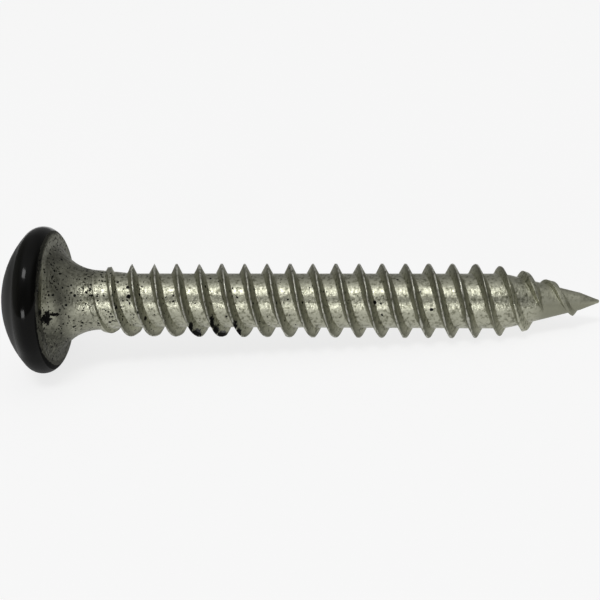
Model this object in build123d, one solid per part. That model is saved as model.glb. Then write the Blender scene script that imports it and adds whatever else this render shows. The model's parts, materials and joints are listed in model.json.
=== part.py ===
from build123d import *
import math
import os

# Self-tapping roofing screw with a domed head, cold headed and thread rolled from one wire.
# Millimetres. While it is modelled, the screw points along +X: the bearing face under the
# head lies at x = 0, the head at x < 0 and the tip at x = screw_l. At the end it is laid down.

# Length and head
screw_l = 35.3          # from the bearing face to the tip
head_d = 9.78
head_h = 3.52           # from the bearing face to the top of the dome
head_edge_h = 0.92      # where the head is widest, above the bearing face
head_edge_r = 1.02      # round edge between the dome and the underside
bearing_in_d = 7.44     # where the flat underside ends and the neck fillet begins

# Drive recess, a number 2 cross
recess_d = 4.9          # across the wings, at the top of the dome
recess_depth = 2.55     # from the top of the dome to the foot of the wings
recess_wing_w = 1.05
recess_core_d = 2.5     # the cross at the foot of its wings
recess_slope = 26.5     # of the wings' outer ends, in degrees from the axis
recess_foot_h = 0.5     # shallow cone below the wings
recess_turn = -15.0     # turns the head and its cross about the axis, in degrees

# Shank and core of the thread
neck_d = 3.94
neck_fillet_l = 2.93    # the fillet under the head runs down the shank as far as this
core_d = 3.52
core_blend_l = 2.3      # the shank sinks to the core over this length

# Thread, two starts, right-hand
thread_d = 4.8
thread_lead = 3.0       # one turn of one start, so neighbouring ridges are half of it apart
thread_flank = 27.0     # half the angle between a ridge's flanks, in degrees
crest_land = 0.05       # width of a full crest
run_in_at = 2.3         # where a ridge rises out of the shank, under the head
run_in_l = 2.5          # how far it takes to its full height
thread_turn = 0.7       # turns both starts about the axis, in degrees
ridge_sink = 0.25       # how far a ridge reaches into the core, so that they join

# Gimlet point, measured back from the tip
nib_l = 1.19            # blunt last piece
nib_d = 1.10
nib_end_r = 0.13        # rounded end
point_slope = 14.3      # core's taper, in degrees from the axis
point_ease = 0.6        # half of the curve that leads into the taper
crest_fall_l = 8.05     # the crests begin to fall this far from the tip
crest_lean_l = 1.65     # at first only by the angle at which the screw lies, over a good pitch
crest_low_l = 3.5       # from here they follow the taper
crest_low_h = 0.30      # and stand this high above it,
crest_end_h = 0.28      # which would sink to this at the tip
blunt_l = 5.4           # from here the rolling leaves the crests' tops flat,
blunt_end_l = 1.6       # until here, most of all in between,
blunt_growth = 0.25     # as a ridge's flanks would meet this much higher per mm
lead_gain_l = 7.3       # from here a ridge runs out a little faster,
lead_gain = 0.04        # by this share of its way
start_ends = (3.35, 0.85)   # where the first and the second start end, from the tip
start_fade_l = 0.9      # a start sinks into the core over this length

# The ridges are built from half turns, each ruled between curves through this many steps
half_turn_steps = 6

head_r = head_d / 2
neck_r = neck_d / 2
core_r = core_d / 2
crest_r = thread_d / 2
flank = math.tan(math.radians(thread_flank))
taper = math.tan(math.radians(point_slope))
taper_at = screw_l - nib_l - (core_r - nib_d / 2) / taper
fall_at = screw_l - crest_fall_l
low_at = screw_l - crest_low_l


def core_radius(x):
    """Radius of the thread's core: level, then eased into the straight taper of the point."""
    past = x - taper_at
    if past <= -point_ease:
        return core_r
    if past >= point_ease:
        return core_r - taper * past
    return core_r - taper * (past + point_ease) ** 2 / (4 * point_ease)


def rest_tilt():
    """Angle in radians at which the screw lies, on its head's edge round and its last full crest."""
    along = fall_at + head_edge_h
    out = crest_r - (head_r - head_edge_r)
    return math.asin(head_edge_r / math.hypot(along, out)) - math.atan2(out, along)


def crest_radius(x):
    """Radius that the crests reach: level, then a slight lean, then an arc towards the point."""
    lean = rest_tilt()
    lean_at = fall_at + crest_lean_l
    lean_r = crest_r - crest_lean_l * math.tan(lean)
    if x <= fall_at:
        return crest_r
    if x <= lean_at:
        return crest_r - (x - fall_at) * math.tan(lean)
    if x >= low_at:
        return core_radius(x) + crest_end_h + (crest_low_h - crest_end_h) * (screw_l - x) / crest_low_l
    # the arc leaves the lean without a corner and meets the line that follows the taper
    run, drop = low_at - lean_at, lean_r - core_radius(low_at) - crest_low_h
    inward = drop * math.cos(lean) - run * math.sin(lean)
    arc_r = (run ** 2 + drop ** 2) / (2 * inward)
    centre = (lean_at - arc_r * math.sin(lean), lean_r - arc_r * math.cos(lean))
    return centre[1] + math.sqrt(arc_r ** 2 - (x - centre[0]) ** 2)


def turned(outline):
    """Turns a closed half outline about the screw's axis."""
    return revolve(outline, Axis.X)


def blank():
    """Head, neck, shank, core and point as one turned body."""
    dome_h = head_h - head_edge_h
    edge_in = head_r - head_edge_r
    dome_r = (dome_h ** 2 + edge_in ** 2 - head_edge_r ** 2) / (2 * (dome_h - head_edge_r))
    dome_centre = dome_r - head_h
    # the dome and the edge round meet on the line through their centres
    lean = math.atan2(edge_in, dome_centre + head_edge_h)
    meet = (dome_centre - dome_r * math.cos(lean), dome_r * math.sin(lean))
    half = (dome_centre - dome_r * math.cos(lean / 2), dome_r * math.sin(lean / 2))
    edge_foot = edge_in + math.sqrt(max(head_edge_r ** 2 - head_edge_h ** 2, 0))
    under = min(head_edge_h, head_edge_r) - head_edge_h
    ease_end = (taper_at + point_ease * math.cos(math.radians(point_slope)),
                core_r - point_ease * math.sin(math.radians(point_slope)))
    nib_at = screw_l - nib_l
    with BuildSketch(Plane.XY) as outline:
        with BuildLine():
            ThreePointArc((-head_h, 0), half, meet)
            ThreePointArc(meet, (-head_edge_h, head_r), (under, edge_foot))
            Polyline((under, edge_foot), (0, edge_foot), (0, bearing_in_d / 2)) if under < 0 else \
                Line((0, edge_foot), (0, bearing_in_d / 2))
            TangentArc((neck_fillet_l, neck_r), (0, bearing_in_d / 2), tangent=(-1, 0))
            Polyline((neck_fillet_l, neck_r), (neck_fillet_l + core_blend_l, core_r),
                     (taper_at - point_ease, core_r))
            TangentArc((taper_at - point_ease, core_r), ease_end, tangent=(1, 0))
            Polyline(ease_end, (nib_at, nib_d / 2), (screw_l - nib_end_r, nib_end_r))
            CenterArc((screw_l - nib_end_r, 0), nib_end_r, 0, 90)
            Line((screw_l, 0), (-head_h, 0))
        make_face()
    return turned(outline.sketch)


def recess():
    """Cross recess: two crossed blades that narrow downwards, over a shallow cone."""
    top = -head_h
    foot = top + recess_depth
    over = 1.0      # the cutter stands above the dome
    lean = math.tan(math.radians(recess_slope))
    foot_r = recess_core_d / 2
    knee = foot - (recess_d / 2 - foot_r) / lean
    with BuildSketch(Plane.XZ) as blade_outline:
        Polygon((top - over, recess_d / 2), (max(knee, top - over / 2), recess_d / 2), (foot, foot_r),
                (foot + recess_foot_h, 0), (foot, -foot_r),
                (max(knee, top - over / 2), -recess_d / 2), (top - over, -recess_d / 2), align=None)
    blade = extrude(blade_outline.sketch, amount=recess_wing_w / 2, both=True)
    # the corners between the wings are cut back by a cone round the axis
    with BuildSketch(Plane.XY) as cone_outline:
        Polygon((top - over, 0), (top - over, foot_r), (foot, recess_wing_w * 0.6),
                (foot + recess_foot_h * 0.5, 0), align=None)
    return blade + Rot(90, 0, 0) * blade + turned(cone_outline.sketch)


def ridge_height(x, end):
    """Height of a ridge's sharp apex over the core. It sinks into the core at the start's end."""
    blunt = blunt_growth * max(0.0, min(x - (screw_l - blunt_l), screw_l - blunt_end_l - x))
    height = crest_radius(max(x, run_in_at + run_in_l)) - core_radius(x) + crest_land / 2 / flank + blunt
    left = min(1.0, max(0.0, (end - x) / start_fade_l))
    return (height + ridge_sink) * (0.02 + 0.98 * left) - ridge_sink


def rail_point(x, turn, end, side):
    """Point on a ridge's foot (side -1 or 1) or on its sharp apex (side 0)."""
    height = ridge_height(x, end)
    r = core_radius(x) + (-ridge_sink if side else height)
    gained = lead_gain * max(0.0, x - (screw_l - lead_gain_l))
    angle = math.radians(turn + 360 * (x - gained) / thread_lead)
    aside = side * (height + ridge_sink) * flank
    return Vector(x + aside, r * math.cos(angle), r * math.sin(angle))


def rail(near, far, turn, end, side):
    """Curve along one edge of a ridge, with the helix's own direction at both ends."""
    def place(x):
        return rail_point(x, turn, end, side)
    step = (far - near) / half_turn_steps
    ways = [place(x + step / 100) - place(x - step / 100) for x in (near, far)]
    return Edge.make_spline([place(near + i * step) for i in range(half_turn_steps + 1)], tangents=ways)


def ridge(turn, end):
    """One start as a three-cornered ridge along a helix, before its crest is cut to size."""
    begin = run_in_at - run_in_l / 2
    half_turns = math.ceil((end - begin) / (thread_lead / 2))
    cuts = [begin + (end - begin) * i / half_turns for i in range(half_turns + 1)]
    faces = []
    for near, far in zip(cuts, cuts[1:]):
        edges = [rail(near, far, turn, end, side) for side in (-1, 0, 1)]
        faces += [Face.make_surface_from_curves(edges[i], edges[(i + 1) % 3]) for i in range(3)]
    for x in (begin, end):
        corners = [rail_point(x, turn, end, side) for side in (-1, 0, 1)]
        faces.append(Face(Wire.make_polygon(corners, close=True)))
    return Solid(Shell(faces))


def crest_limit():
    """Turned body that the crests are cut to, like the dies that roll them."""
    rise = (crest_r - neck_r) / run_in_l
    begin = run_in_at - run_in_l
    lean = rest_tilt()
    lean_end = (fall_at + crest_lean_l, crest_r - crest_lean_l * math.tan(lean))
    with BuildSketch(Plane.XY) as outline:
        with BuildLine():
            Polyline((begin, 0), (begin, neck_r - rise * run_in_l), (run_in_at + run_in_l, crest_r),
                     (fall_at, crest_r), lean_end)
            TangentArc(lean_end, (low_at, crest_radius(low_at)),
                       tangent=(math.cos(lean), -math.sin(lean)))
            Polyline((low_at, crest_radius(low_at)), (screw_l, crest_radius(screw_l)), (screw_l, 0),
                     (begin, 0))
        make_face()
    return turned(outline.sketch)


def laid_down(screw):
    """Lays the screw on the floor, with its box centred over the origin."""
    lying = Rot(0, math.degrees(rest_tilt()), 0) * screw
    box = lying.bounding_box()
    return Pos(-box.center().X, -box.center().Y, -box.min.Z) * lying


starts = Compound([ridge(thread_turn + 360 * i / len(start_ends), screw_l - from_tip)
                   for i, from_tip in enumerate(start_ends)])
thread = crest_limit() & starts
# fused as one tool, because the starts never touch each other
wire = Rot(recess_turn, 0, 0) * (blank() - recess())
screw = wire.fuse(Compound(list(thread.solids())))

os.makedirs("parts", exist_ok=True)
export_step(laid_down(screw), "parts/screw.step")
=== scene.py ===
"""Looks of a lying roofing screw: bare plated steel with a painted head, on a white studio floor."""

import json
import logging
import math
from dataclasses import dataclass, field
from enum import Enum
from typing import Any

import bpy
from mathutils import Matrix, Vector


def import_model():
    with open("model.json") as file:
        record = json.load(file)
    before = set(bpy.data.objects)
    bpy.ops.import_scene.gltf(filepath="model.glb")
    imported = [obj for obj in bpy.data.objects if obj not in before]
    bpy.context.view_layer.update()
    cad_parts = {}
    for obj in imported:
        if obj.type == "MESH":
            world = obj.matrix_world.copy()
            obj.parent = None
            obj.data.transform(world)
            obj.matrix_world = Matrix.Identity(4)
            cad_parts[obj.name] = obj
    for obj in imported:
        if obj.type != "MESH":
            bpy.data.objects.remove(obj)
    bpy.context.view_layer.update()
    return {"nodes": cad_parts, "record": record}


LOG = logging.getLogger("screw")
MM = 0.001


def linear(colour: str) -> tuple[float, float, float, float]:
    """Turns an sRGB hex colour into the linear colour that shaders take.

    Args:
        colour: Six hex digits, red first.

    Returns:
        Linear red, green and blue, and full alpha.
    """
    parts = [int(colour[i:i + 2], 16) / 255 for i in (0, 2, 4)]
    red, green, blue = (c / 12.92 if c <= 0.04045 else ((c + 0.055) / 1.055) ** 2.4 for c in parts)
    return red, green, blue, 1.0


def add_node(tree: bpy.types.NodeTree, kind: str, settings: dict[str | int, Any] | None = None,
             links: dict[str | int, bpy.types.NodeSocket] | None = None) -> bpy.types.Node:
    """Adds a node with its settings and what feeds it.

    Args:
        tree: Node tree that gets the node.
        kind: Blender's type name of the node, without its common beginning.
        settings: Values by attribute name, or by input name or number.
        links: Feeding sockets by input name or number.

    Returns:
        The new node.
    """
    node = tree.nodes.new("ShaderNode" + kind)
    for name, value in (settings or {}).items():
        if isinstance(name, str) and hasattr(node, name):
            setattr(node, name, value)
        else:
            node.inputs[name].default_value = value
    for name, socket in (links or {}).items():
        tree.links.new(socket, node.inputs[name])
    return node


class Join(Enum):
    """Ways in which two patches of a pattern join."""

    EITHER = "MAXIMUM"
    BOTH = "MULTIPLY"


@dataclass(frozen=True)
class Lie:
    """How the screw lies: where the middle of its bearing face is, in metres, and how far its axis leans down.

    The turn about the axis goes from straight up to what is up in the picture, and places the paint's marks.
    """

    bearing_centre: Vector
    lean: float
    turn: float = math.radians(-25.9)

    @classmethod
    def of_record(cls, record: dict[str, Any], head_h: float = 3.52 * MM) -> "Lie":
        """Reads the lie from the record's recess mount, which sits on the dome's top.

        Args:
            record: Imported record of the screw.
            head_h: Height of the dome over the bearing face.

        Returns:
            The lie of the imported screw.
        """
        recess = next(m for m in record["mounts"] if m["name"] == "drive_recess")
        axis = -Vector(recess["axis"]).normalized()
        return cls(Vector(recess["pos_m"]) + axis * head_h, math.asin(-axis.z))

    @property
    def axis(self) -> Vector:
        """Direction from the head to the tip."""
        return Vector((math.cos(self.lean), 0.0, -math.sin(self.lean)))

    def on_axis(self, depth: float) -> Vector:
        """Point on the axis this far below the head, both in metres."""
        return self.bearing_centre + self.axis * depth


@dataclass(frozen=True)
class Places:
    """Where a shaded point lies on the screw, as sockets in millimetres."""

    spot: bpy.types.NodeSocket
    along: bpy.types.NodeSocket
    upward: bpy.types.NodeSocket
    radius: bpy.types.NodeSocket
    facing: bpy.types.NodeSocket

    @classmethod
    def on(cls, tree: bpy.types.NodeTree, lie: Lie) -> "Places":
        """Adds the nodes that find the place.

        Args:
            tree: Material's node tree.
            lie: How the screw lies.

        Returns:
            The spot itself, its depth under the head, its height as the picture shows it, its radius, and how
            far the surface faces along the axis.
        """
        given = add_node(tree, "TexCoord")
        local = add_node(tree, "Mapping", {
            "vector_type": "TEXTURE", "Location": lie.bearing_centre,
            "Rotation": (lie.turn, lie.lean, 0.0), "Scale": (MM, MM, MM)}, {"Vector": given.outputs["Object"]})
        split = add_node(tree, "SeparateXYZ", links={0: local.outputs[0]})
        across = add_node(tree, "CombineXYZ", links={1: split.outputs[1], 2: split.outputs[2]})
        radius = add_node(tree, "VectorMath", {"operation": "LENGTH"}, {0: across.outputs[0]})
        facing = add_node(tree, "VectorMath", {"operation": "DOT_PRODUCT", 1: lie.axis},
                          {0: given.outputs["Normal"]})
        facing = add_node(tree, "Math", {"operation": "ABSOLUTE"}, {0: facing.outputs["Value"]})
        return cls(local.outputs[0], split.outputs[0], split.outputs[2], radius.outputs["Value"],
                   facing.outputs[0])


def joined(tree: bpy.types.NodeTree, way: Join, parts: list[bpy.types.NodeSocket]) -> bpy.types.NodeSocket:
    """Joins several masks into one.

    Args:
        tree: Material's node tree.
        way: How they join.
        parts: The masks.

    Returns:
        The joined mask.
    """
    whole = parts[0]
    for part in parts[1:]:
        whole = add_node(tree, "Math", {"operation": way.value}, {0: whole, 1: part}).outputs[0]
    return whole


@dataclass(frozen=True)
class Fade:
    """A soft step from one value to another over a range of a place."""

    begin: float
    end: float
    before: float = 0.0
    after: float = 1.0

    def of(self, tree: bpy.types.NodeTree, place: bpy.types.NodeSocket) -> bpy.types.NodeSocket:
        """Adds the step.

        Args:
            tree: Node tree.
            place: What it runs over.

        Returns:
            The faded value.
        """
        low, high = sorted((self.begin, self.end))
        first, last = (self.before, self.after) if self.begin <= self.end else (self.after, self.before)
        return add_node(tree, "MapRange", {
            "interpolation_type": "SMOOTHSTEP", "From Min": low, "From Max": high,
            "To Min": first, "To Max": last}, {"Value": place}).outputs[0]


@dataclass(frozen=True)
class PlatedSteel:
    """Zinc-plated rolled steel, with lengths in millimetres.

    It looks warm grey, cloudy where the dies pressed it, and its fine grain breaks up the glints.
    """

    name: str = "Zinc-plated rolled steel"
    root_colour: str = "a8a897"
    flank_colour: str = "a8a894"
    # the crests are lighter partly from wear and partly as a painted highlight
    crest_wear_and_highlight_colour: str = "dcdcd0"
    # this colour is a real stain in the clouds and painted shade on the flanks under the crests
    stain_and_shade_colour: str = "6a6a5a"
    # the real grain is finer: this one is drawn as coarse as it needs to show
    grain: float = 0.20
    grain_height: float = 0.036
    # it is drawn out round the axis, as the dies rolled it
    grain_squeeze: tuple[float, float, float] = (1.5, 0.7, 0.7)
    # the flare under the head and the point were pressed smooth, so their grain is fainter
    calm: tuple[Fade, ...] = (Fade(0.8, 2.4, 0.55, 1.0), Fade(30.5, 32.5, 1.0, 0.5))
    cloud: float = 0.22
    cloud_stain: Fade = Fade(0.56, 0.30)
    flank_facing: Fade = Fade(0.45, 0.8)
    flank_along: Fade = Fade(1.5, 2.5)
    # painted shade: the flanks grow darker towards the crests
    flank_painted_shade: Fade = Fade(1.85, 2.3, 0.0, 0.6)
    crest_radius: Fade = Fade(2.30, 2.36)
    crest_along: Fade = Fade(2.0, 3.0)
    crest_wear_and_highlight_grain: Fade = Fade(0.40, 0.54)
    point_along: Fade = Fade(30.5, 32.0)
    # the point is darker on its lower side
    point_darker_below: Fade = Fade(0.1, -0.3, 0.0, 0.55)
    grain_roughness: Fade = Fade(0.38, 0.62, 0.30, 0.46)
    flank_roughness: Fade = Fade(0.0, 1.0, 0.0, 0.62)
    point_roughness: Fade = Fade(0.0, 1.0, 0.0, 0.56)
    edge_round: float = 0.09

    def surface(self, tree: bpy.types.NodeTree, at: Places) -> bpy.types.NodeSocket:
        """Adds the bare steel.

        Args:
            tree: Material's node tree.
            at: Places on the screw.

        Returns:
            Its shader.
        """
        squeezed = add_node(tree, "VectorMath", {"operation": "MULTIPLY", 1: self.grain_squeeze},
                            {0: at.spot}).outputs[0]
        grain = add_node(tree, "TexNoise", {"Scale": 1 / self.grain, "Detail": 3.0, "Roughness": 0.65},
                         {"Vector": squeezed}).outputs[0]
        flank = joined(tree, Join.BOTH, [self.flank_facing.of(tree, at.facing), self.flank_along.of(tree, at.along)])
        point = self.point_along.of(tree, at.along)
        calm = joined(tree, Join.BOTH, [fade.of(tree, at.along) for fade in self.calm])
        rounded = add_node(tree, "Bevel", {"samples": 6, "Radius": self.edge_round * MM})
        rough = add_node(tree, "Bump", {"Distance": self.grain_height * MM},
                         {"Strength": calm, "Height": grain, "Normal": rounded.outputs[0]})
        dull = joined(tree, Join.EITHER, [
            self.grain_roughness.of(tree, grain), self.flank_roughness.of(tree, flank),
            self.point_roughness.of(tree, point)])
        return add_node(tree, "BsdfPrincipled", {"Metallic": 1.0}, {
            "Base Color": self.colour(tree, at, grain, calm, flank, point), "Roughness": dull,
            "Normal": rough.outputs[0]}).outputs[0]

    def colour(self, tree: bpy.types.NodeTree, at: Places, grain: bpy.types.NodeSocket, calm: bpy.types.NodeSocket,
               flank: bpy.types.NodeSocket, point: bpy.types.NodeSocket) -> bpy.types.NodeSocket:
        """Adds the steel's colour: stained in clouds, with painted shade on the flanks under the crests, darker below
        the point, and light on the crests, partly from wear and partly as a painted highlight.

        Args:
            tree: Material's node tree.
            at: Places on the screw.
            grain: Noise of the grain.
            calm: How strong the clouds are.
            flank: Mask of the thread's flanks.
            point: Mask of the point.

        Returns:
            The colour.
        """
        clouds = add_node(tree, "TexNoise", {"Scale": 1 / self.cloud, "Detail": 4.0, "Roughness": 0.6},
                          {"Vector": at.spot}).outputs[0]
        # stains in the clouds, painted shade on the flanks under the crests, and a darker lower side on the point
        stain_and_shade = joined(tree, Join.EITHER, [
            joined(tree, Join.BOTH, [self.cloud_stain.of(tree, clouds), calm]),
            joined(tree, Join.BOTH, [flank, self.flank_painted_shade.of(tree, at.radius)]),
            joined(tree, Join.BOTH, [point, self.point_darker_below.of(tree, at.upward)])])
        # light crests: partly wear, partly a painted highlight, broken up by the grain
        crest_wear_and_highlight = joined(tree, Join.BOTH, [
            self.crest_radius.of(tree, at.radius), self.crest_along.of(tree, at.along),
            self.crest_wear_and_highlight_grain.of(tree, grain)])
        mixed = add_node(tree, "MixRGB", {"Color1": linear(self.root_colour), "Color2": linear(self.flank_colour)},
                         {"Fac": flank}).outputs[0]
        for colour, mask in ((self.stain_and_shade_colour, stain_and_shade), (self.crest_wear_and_highlight_colour, crest_wear_and_highlight)):
            mixed = add_node(tree, "MixRGB", {"Color2": linear(colour)}, {"Fac": mask, "Color1": mixed}).outputs[0]
        return mixed


@dataclass(frozen=True)
class Drop:
    """A small round drop of paint: where it landed, its radius and its soft rim, in millimetres."""

    along: float
    away: float
    upward: float
    radius: float
    soft: float = 0.03

    def of(self, tree: bpy.types.NodeTree, spot: bpy.types.NodeSocket) -> bpy.types.NodeSocket:
        """Adds the drop.

        Args:
            tree: Material's node tree.
            spot: Place on the screw.

        Returns:
            Its mask.
        """
        off = add_node(tree, "VectorMath", {"operation": "DISTANCE", 1: (self.along, self.away, self.upward)},
                       {0: spot}).outputs["Value"]
        return Fade(self.radius + self.soft, self.radius - self.soft).of(tree, off)


@dataclass(frozen=True)
class Blot:
    """A blot of paint: its middle and reach along, away and up in millimetres, and how ragged its rim is."""

    name: str
    middle: tuple[float, float, float]
    reach: tuple[float, float, float]
    ragged: float
    soft: float = 0.15

    def of(self, tree: bpy.types.NodeTree, spot: bpy.types.NodeSocket,
           wild: bpy.types.NodeSocket) -> bpy.types.NodeSocket:
        """Adds the blot.

        Args:
            tree: Material's node tree.
            spot: Place on the screw.
            wild: Noise that frays the rim.

        Returns:
            Its mask.
        """
        way = add_node(tree, "VectorMath", {"label": self.name, "operation": "SUBTRACT", 1: self.middle},
                       {0: spot}).outputs[0]
        way = add_node(tree, "VectorMath", {"operation": "DIVIDE", 1: self.reach}, {0: way}).outputs[0]
        off = add_node(tree, "VectorMath", {"operation": "LENGTH"}, {0: way}).outputs["Value"]
        off = add_node(tree, "Math", {"operation": "MULTIPLY_ADD", 1: -4 * self.ragged}, {0: wild, 2: off}).outputs[0]
        # the noise is about 0.5, so the rim moves in by half of what it is multiplied with
        rim = 1 - 2 * self.ragged
        return Fade(rim + self.soft, rim - self.soft).of(tree, off)


@dataclass(frozen=True)
class MistAndShade:
    """A patch of overspray paint mist that is partly painted shade: how it fades with the height, along the screw and
    with the radius.
    """

    heights: tuple[Fade, ...]
    lengths: tuple[Fade, ...]
    radii: tuple[Fade, ...] = ()

    def of(self, tree: bpy.types.NodeTree, at: Places) -> bpy.types.NodeSocket:
        """Adds the patch.

        Args:
            tree: Material's node tree.
            at: Places on the screw.

        Returns:
            Its mask.
        """
        by_height = joined(tree, Join.EITHER, [fade.of(tree, at.upward) for fade in self.heights])
        by_length = [fade.of(tree, at.along) for fade in self.lengths]
        by_radius = [fade.of(tree, at.radius) for fade in self.radii]
        return joined(tree, Join.BOTH, [by_height, *by_length, *by_radius])


@dataclass(frozen=True)
class BlackPaint:
    """Sprayed black gloss paint, with lengths in millimetres.

    It looks deep black with small sharp glints, and ragged where the spray ran out under the head.
    """

    colour: str = "070706"
    # the crown's grey is a painted sheen, and the crown is duller, like the head's lower edge
    crown_sheen_colour: str = "191917"
    crown: Fade = Fade(-1.6, -0.9)
    crown_roughness: Fade = Fade(-2.1, -1.1, 0.55, 0.12)
    foot_roughness: Fade = Fade(-2.6, -4.0, 0.0, 0.55)
    mist_and_shade_roughness: Fade = Fade(0.0, 0.1, 0.0, 0.9)
    level: float = 0.10
    # the spray's edge is a radius on the bearing face and lies further in, the higher up the head it is
    edge_slant: float = 1.5
    edge_full: Fade = Fade(4.74, 4.96)
    edge_haze: Fade = Fade(4.20, 4.62, 0.0, 0.88)
    edge_at_foot: Fade = Fade(-4.3, -3.3, -0.35, 0.0)
    edge_at_top: Fade = Fade(2.2, 3.6, 0.0, 0.22)
    edge_swing: float = 0.45
    ragged: float = 0.4
    dome: Fade = Fade(-0.3, -0.45)
    fray: float = 0.24
    # mist on the flat ring, on the flare, and down the neck: partly real overspray, partly painted shade over
    # reflections and highlights there
    mists_and_shade: tuple[MistAndShade, ...] = (
        MistAndShade((Fade(1.5, 2.8, 0.0, 0.68), Fade(-0.4, -2.4, 0.0, 0.82)), (Fade(-0.25, -0.05), Fade(1.4, 0.7))),
        MistAndShade((Fade(1.0, -1.0, 0.28, 0.70),), (Fade(0.3, 0.9),), (Fade(2.0, 2.7),)),
        MistAndShade((Fade(0.4, 1.0, 0.0, 0.48), Fade(-0.7, -1.2, 0.0, 0.32)), (Fade(0.4, 1.2), Fade(3.6, 2.2))),
    )
    mist_and_shade_cloud: Fade = Fade(0.35, 0.6, 0.88, 1.06)
    warp: float = 0.12
    cluster: float = 0.9
    clusters: Fade = Fade(0.38, 0.56, 0.60, 1.35)
    speck_cells: tuple[float, ...] = (0.16, 0.24)
    speck_shares: tuple[float, ...] = (0.55, 0.34)
    speck_size: float = 0.45
    speck_rim: Fade = Fade(-0.02, 0.05)
    specks_by_head: Fade = Fade(2.5, 8.0, 1.3, 0.16)
    specks_by_point: Fade = Fade(13.0, 27.0, 1.0, 0.0)
    blots: tuple[Blot, ...] = (
        Blot("spatter under the head", (0.20, -3.25, -1.20), (0.40, 0.60, 0.42), 0.9),
        Blot("spatter's root", (0.02, -3.95, -0.78), (0.30, 0.36, 0.20), 0.8),
        Blot("spatter's tail", (0.60, -2.80, -0.95), (0.45, 0.45, 0.10), 0.6),
        Blot("first drip's top", (9.26, -1.53, -1.76), (0.16, 0.32, 0.36), 0.8),
        Blot("first drip", (9.50, -0.60, -2.22), (0.48, 0.80, 0.38), 0.8),
        Blot("second drip's top", (10.70, -1.75, -1.40), (0.14, 0.40, 0.42), 0.8),
        Blot("second drip's middle", (10.84, -1.25, -1.92), (0.24, 0.55, 0.36), 0.75),
        Blot("second drip's foot", (11.10, -0.20, -2.28), (0.48, 1.00, 0.28), 0.6),
        Blot("third drip's top", (12.18, -1.68, -1.62), (0.15, 0.34, 0.36), 0.8),
        Blot("third drip", (12.34, -1.10, -2.08), (0.20, 0.50, 0.30), 0.75),
    )
    drops: tuple[Drop, ...] = (
        Drop(2.71, -1.78, 1.00, 0.09), Drop(2.85, -2.04, 0.29, 0.10), Drop(4.52, -2.12, -0.48, 0.10),
        Drop(5.11, -1.57, 0.81, 0.12), Drop(5.22, -1.75, 0.23, 0.15), Drop(5.94, -2.26, -0.80, 0.10),
        Drop(5.97, -1.86, 0.36, 0.10), Drop(6.31, -1.61, -1.19, 0.13), Drop(10.28, -1.81, 0.88, 0.10),
        Drop(10.47, -1.05, 1.41, 0.09), Drop(11.59, -1.42, -1.04, 0.09), Drop(16.57, -1.94, -0.13, 0.09),
        Drop(17.90, -1.84, 0.58, 0.08), Drop(21.14, -1.80, -0.11, 0.14), Drop(21.55, -1.80, -0.20, 0.09),
        Drop(24.73, -1.67, -0.55, 0.12),
    )

    def surface(self, tree: bpy.types.NodeTree, at: Places, mist_and_shade: bpy.types.NodeSocket) -> bpy.types.NodeSocket:
        """Adds the paint, duller on the crown and greyer there as a painted sheen, duller at its lower edge, and matt
        in its mist, which is partly painted shade.

        Args:
            tree: Material's node tree.
            at: Places on the screw.
            mist_and_shade: Mask of the mist, which is partly painted shade.

        Returns:
            Its shader.
        """
        rough = joined(tree, Join.EITHER, [
            self.crown_roughness.of(tree, at.along), self.foot_roughness.of(tree, at.upward),
            self.mist_and_shade_roughness.of(tree, mist_and_shade)])
        # grey on the crown is a painted sheen
        colour = add_node(tree, "MixRGB", {"Color1": linear(self.crown_sheen_colour), "Color2": linear(self.colour)},
                          {"Fac": self.crown.of(tree, at.along)}).outputs[0]
        return add_node(tree, "BsdfPrincipled", {"Specular IOR Level": self.level},
                        {"Base Color": colour, "Roughness": rough}).outputs[0]

    def on(self, tree: bpy.types.NodeTree, at: Places, bare: bpy.types.NodeSocket) -> bpy.types.NodeSocket:
        """Paints a bare surface.

        Args:
            tree: Material's node tree.
            at: Places on the screw.
            bare: Shader of the bare surface.

        Returns:
            Shader of the painted one.
        """
        wild = add_node(tree, "TexNoise", {"Scale": 1 / self.fray, "Detail": 4.0, "Roughness": 0.75},
                        {"Vector": at.spot}).outputs[0]
        mist_and_shade_patches = joined(tree, Join.EITHER, [mist.of(tree, at) for mist in self.mists_and_shade])
        # the mist is partly real overspray and partly painted shade
        mist_and_shade = joined(tree, Join.BOTH, [mist_and_shade_patches, self.mist_and_shade_cloud.of(tree, wild)])
        blots = [blot.of(tree, at.spot, wild) for blot in self.blots]
        cover = joined(tree, Join.EITHER, [self.sprayed(tree, at), self.specks(tree, at), mist_and_shade, *blots])
        return add_node(tree, "MixShader", links={0: cover, 1: bare, 2: self.surface(tree, at, mist_and_shade)}).outputs[0]

    def sprayed(self, tree: bpy.types.NodeTree, at: Places) -> bpy.types.NodeSocket:
        """Adds the sprayed dome with its recess, which ends in a soft ragged line near the head's lower corner.

        Args:
            tree: Material's node tree.
            at: Places on the screw.

        Returns:
            Its mask.
        """
        wild = add_node(tree, "TexNoise", {"Scale": 1 / self.ragged, "Detail": 5.0, "Roughness": 0.65},
                        {"Vector": at.spot}).outputs[0]
        below = add_node(tree, "Math", {"operation": "MINIMUM", 1: 0.0}, {0: at.along}).outputs[0]
        reach = add_node(tree, "Math", {"operation": "MULTIPLY_ADD", 1: -self.edge_slant},
                         {0: below, 2: at.radius}).outputs[0]
        reach = add_node(tree, "Math", {"operation": "MULTIPLY_ADD", 1: self.edge_swing},
                         {0: wild, 2: reach}).outputs[0]
        shift = add_node(tree, "Math", {"operation": "ADD"}, {
            0: self.edge_at_foot.of(tree, at.upward), 1: self.edge_at_top.of(tree, at.upward)}).outputs[0]
        reach = add_node(tree, "Math", {"operation": "SUBTRACT"}, {0: reach, 1: shift}).outputs[0]
        return joined(tree, Join.EITHER, [
            self.edge_full.of(tree, reach), self.edge_haze.of(tree, reach), self.dome.of(tree, at.along)])

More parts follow.
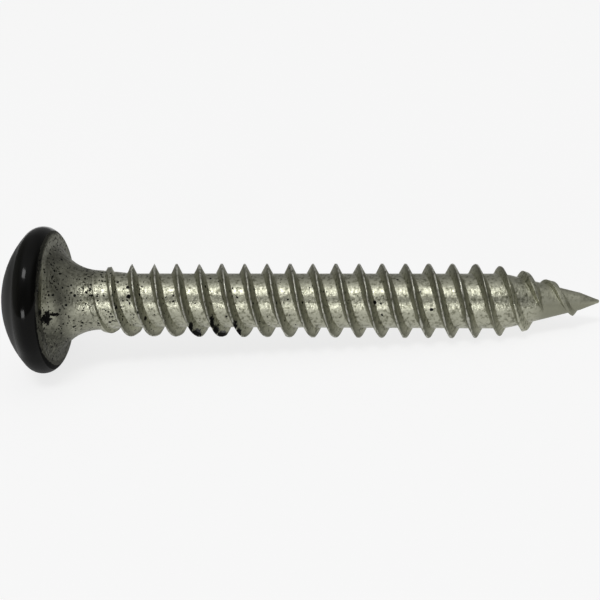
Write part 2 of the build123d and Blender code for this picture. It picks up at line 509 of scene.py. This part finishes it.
    def specks(self, tree: bpy.types.NodeTree, at: Places) -> bpy.types.NodeSocket:
        """Adds the drops and the overspray specks, which are dense by the head and fewer along the shank.

        Args:
            tree: Material's node tree.
            at: Places on the screw.

        Returns:
            Their mask.
        """
        warp = add_node(tree, "TexNoise", {"Scale": 1 / self.warp, "Detail": 2.0},
                        {"Vector": at.spot}).outputs["Color"]
        # the noise is about 0.5, so half of its scale is taken off again
        warp = add_node(tree, "VectorMath", {
            "operation": "MULTIPLY_ADD", 1: (self.warp,) * 3, 2: (-self.warp / 2,) * 3}, {0: warp}).outputs[0]
        spot = add_node(tree, "VectorMath", {"operation": "ADD"}, {0: at.spot, 1: warp}).outputs[0]
        wide = add_node(tree, "TexNoise", {"Scale": 1 / self.cluster, "Detail": 1.0}, {"Vector": at.spot}).outputs[0]
        dense = joined(tree, Join.BOTH, [
            self.specks_by_head.of(tree, at.along), self.specks_by_point.of(tree, at.along),
            self.clusters.of(tree, wide)])
        masks = [drop.of(tree, spot) for drop in self.drops]
        for cell, share in zip(self.speck_cells, self.speck_shares):
            cells = add_node(tree, "TexVoronoi", {"Scale": 1 / cell, "Randomness": 1.0}, {"Vector": spot})
            chance = add_node(tree, "SeparateXYZ", links={0: cells.outputs["Color"]})
            edge = add_node(tree, "Math", {"operation": "MULTIPLY", 1: self.speck_size},
                            {0: chance.outputs[1]}).outputs[0]
            inside = add_node(tree, "Math", {"operation": "SUBTRACT"},
                              {0: edge, 1: cells.outputs["Distance"]}).outputs[0]
            likely = add_node(tree, "Math", {"operation": "MULTIPLY", 1: share}, {0: dense}).outputs[0]
            kept = add_node(tree, "Math", {"operation": "LESS_THAN"}, {0: chance.outputs[0], 1: likely}).outputs[0]
            masks.append(joined(tree, Join.BOTH, [self.speck_rim.of(tree, inside), kept]))
        return joined(tree, Join.EITHER, masks)


@dataclass
class Screw:
    """The screw itself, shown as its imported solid."""

    lie: Lie
    steel: PlatedSteel = field(default_factory=PlatedSteel)
    paint: BlackPaint = field(default_factory=BlackPaint)

    def build(self, solid: bpy.types.Object) -> int:
        """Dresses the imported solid.

        Args:
            solid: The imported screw.

        Returns:
            Number of its faces.
        """
        material = bpy.data.materials.new(self.steel.name)
        material.use_nodes = True
        tree = material.node_tree
        tree.nodes.clear()
        at = Places.on(tree, self.lie)
        painted = self.paint.on(tree, at, self.steel.surface(tree, at))
        add_node(tree, "OutputMaterial", links={"Surface": painted})
        solid.data.materials.clear()
        solid.data.materials.append(material)
        return len(solid.data.polygons)


@dataclass(frozen=True)
class Softbox:
    """A lamp aimed at the screw, placed by angles in degrees as seen from the camera, with sizes in metres."""

    name: str
    above: float
    aside: float
    width: float
    height: float
    radiance: float
    distance: float = 1.0

    def build(self, view: Matrix, target: Vector) -> None:
        """Hangs the lamp.

        Args:
            view: Camera's axes as columns: right, up and towards the camera.
            target: Point it shines on.
        """
        up, side = math.radians(self.above), math.radians(self.aside)
        toward = view @ Vector((math.sin(side), math.cos(side) * math.sin(up), math.cos(side) * math.cos(up)))
        data = bpy.data.lights.new(self.name, "AREA")
        data.shape = "RECTANGLE"
        data.size, data.size_y = self.width, self.height
        data.energy = self.radiance * math.pi * self.width * self.height
        lamp = bpy.data.objects.new(self.name, data)
        turn = (-toward).to_track_quat("-Z", "Y")
        lamp.matrix_world = Matrix.LocRotScale(target + toward * self.distance, turn, None)
        bpy.context.scene.collection.objects.link(lamp)


@dataclass
class Studio:
    """White paper floor, white surroundings that are dim beside the head, and two softboxes."""

    lamps: tuple[Softbox, ...] = (
        Softbox("key softbox", 41.0, -15.6, 0.37, 0.23, 13.5),
        Softbox("low softbox", -24.0, -15.6, 0.37, 0.243, 12.5),
    )
    floor_side: float = 6.0
    floor_colour: str = "f4f4f4"
    floor_glow: float = 0.78
    left_wall: Fade = Fade(-0.75, -0.25, 0.12, 1.0)
    right_wall: Fade = Fade(0.55, 0.9, 1.0, 0.18)
    near_wall: Fade = Fade(-0.9, -0.3, 0.35, 1.0)
    far_wall: Fade = Fade(-0.3, 0.5, 0.62, 0.38)
    ceiling: Fade = Fade(0.6, 0.95, 0.88, 1.5)

    def build(self, view: Matrix, target: Vector) -> int:
        """Builds the studio.

        Args:
            view: Camera's axes as columns.
            target: Point that the lamps shine on.

        Returns:
            Number of lamps.
        """
        half = self.floor_side / 2
        mesh = bpy.data.meshes.new("floor")
        mesh.from_pydata([(-half, -half, 0), (half, -half, 0), (half, half, 0), (-half, half, 0)], [], [(0, 1, 2, 3)])
        floor = bpy.data.objects.new("floor", mesh)
        bpy.context.scene.collection.objects.link(floor)
        mesh.materials.append(self.paper())
        for lamp in self.lamps:
            lamp.build(view, target)
        self.surround()
        return len(self.lamps)

    def seen(self, tree: bpy.types.NodeTree) -> bpy.types.NodeSocket:
        """Adds a mask of the rays that show the background: camera, glossy and transmission.

        Args:
            tree: Node tree.

        Returns:
            The mask.
        """
        path = add_node(tree, "LightPath")
        rays = [path.outputs[name] for name in ("Is Camera Ray", "Is Glossy Ray", "Is Transmission Ray")]
        return joined(tree, Join.EITHER, rays)

    def paper(self) -> bpy.types.Material:
        """Makes the floor's matt white paper, whose shadow stays but is lifted towards white.

        Returns:
            Its material.
        """
        material = bpy.data.materials.new("Matt white paper")
        material.use_nodes = True
        tree = material.node_tree
        tree.nodes.clear()
        share = add_node(tree, "Math", {"operation": "MULTIPLY", 1: self.floor_glow}, {0: self.seen(tree)})
        matt = add_node(tree, "BsdfPrincipled", {
            "Base Color": linear(self.floor_colour), "Roughness": 1.0, "Specular IOR Level": 0.0})
        glow = add_node(tree, "Emission", {"Color": linear("ffffff"), "Strength": 1.0})
        mixed = add_node(tree, "MixShader", links={0: share.outputs[0], 1: matt.outputs[0], 2: glow.outputs[0]})
        add_node(tree, "OutputMaterial", links={"Surface": mixed.outputs[0]})
        return material

    def surround(self) -> None:
        """Makes the surroundings: white, brighter overhead, dimmer all round, most of all past the head."""
        world = bpy.data.worlds.new("white studio")
        world.use_nodes = True
        bpy.context.scene.world = world
        tree = world.node_tree
        tree.nodes.clear()
        way = add_node(tree, "TexCoord")
        part = add_node(tree, "SeparateXYZ", links={0: way.outputs["Generated"]})
        strength = joined(tree, Join.BOTH, [
            self.left_wall.of(tree, part.outputs[0]), self.right_wall.of(tree, part.outputs[0]),
            self.near_wall.of(tree, part.outputs[1]), self.far_wall.of(tree, part.outputs[1]),
            self.ceiling.of(tree, part.outputs[2])])
        glow = add_node(tree, "Background", {"Color": linear("ffffff")}, {"Strength": strength})
        add_node(tree, "OutputWorld", links={"Surface": glow.outputs[0]})


@dataclass
class Camera:
    """The photo's camera: above and beside the screw, nearer its tip.

    Its angles are in degrees, its roll is in radians, and its distances are in metres.
    """

    lens: float = 80.1
    distance: float = 86.9 * MM
    elevation: float = 25.0
    tip_nearer: float = 6.4
    aim_depth: float = 16.155 * MM
    offset: tuple[float, float] = (0.035 * MM, 0.033 * MM)
    roll: float = 0.0026
    sensor_width: float = 36.0
    clip: tuple[float, float] = (0.005, 20.0)

    def axes(self, lie: Lie) -> Matrix:
        """Finds the camera's axes, with the screw's axis level across the picture.

        Args:
            lie: How the screw lies.

        Returns:
            Right, up and towards the camera, as columns.
        """
        rise = math.radians(self.elevation)
        aside = math.asin((math.sin(math.radians(self.tip_nearer)) + math.sin(lie.lean) * math.sin(rise))
                          / (math.cos(lie.lean) * math.cos(rise)))
        back = Vector((math.sin(aside) * math.cos(rise), -math.cos(aside) * math.cos(rise), math.sin(rise)))
        right = (lie.axis - back * lie.axis.dot(back)).normalized()
        return Matrix((right, back.cross(right), back)).transposed() @ Matrix.Rotation(self.roll, 3, "Z")

    def build(self, lie: Lie) -> None:
        """Sets the camera up.

        Args:
            lie: How the screw lies.
        """
        view = self.axes(lie)
        data = bpy.data.cameras.new("camera")
        data.lens, data.sensor_width = self.lens, self.sensor_width
        data.clip_start, data.clip_end = self.clip
        camera = bpy.data.objects.new("camera", data)
        spot = lie.on_axis(self.aim_depth) + view @ Vector((*self.offset, self.distance))
        camera.matrix_world = Matrix.Translation(spot) @ view.to_4x4()
        bpy.context.scene.collection.objects.link(camera)
        bpy.context.scene.camera = camera


def main() -> None:
    """Builds the screw, its studio and its camera in turn."""
    logging.basicConfig(level=logging.INFO, format="%(name)s: %(message)s")
    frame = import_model()
    lie = Lie.of_record(frame["record"])
    LOG.info("screw dressed, %d faces", Screw(lie).build(frame["nodes"]["screw"]))
    camera = Camera()
    LOG.info("studio lit by %d lamps", Studio().build(camera.axes(lie), lie.on_axis(camera.aim_depth)))
    camera.build(lie)
    LOG.info("camera %.1f mm from the screw", camera.distance / MM)
    bpy.context.scene.view_settings.view_transform = "Standard"


if __name__ == "__main__":
    main()
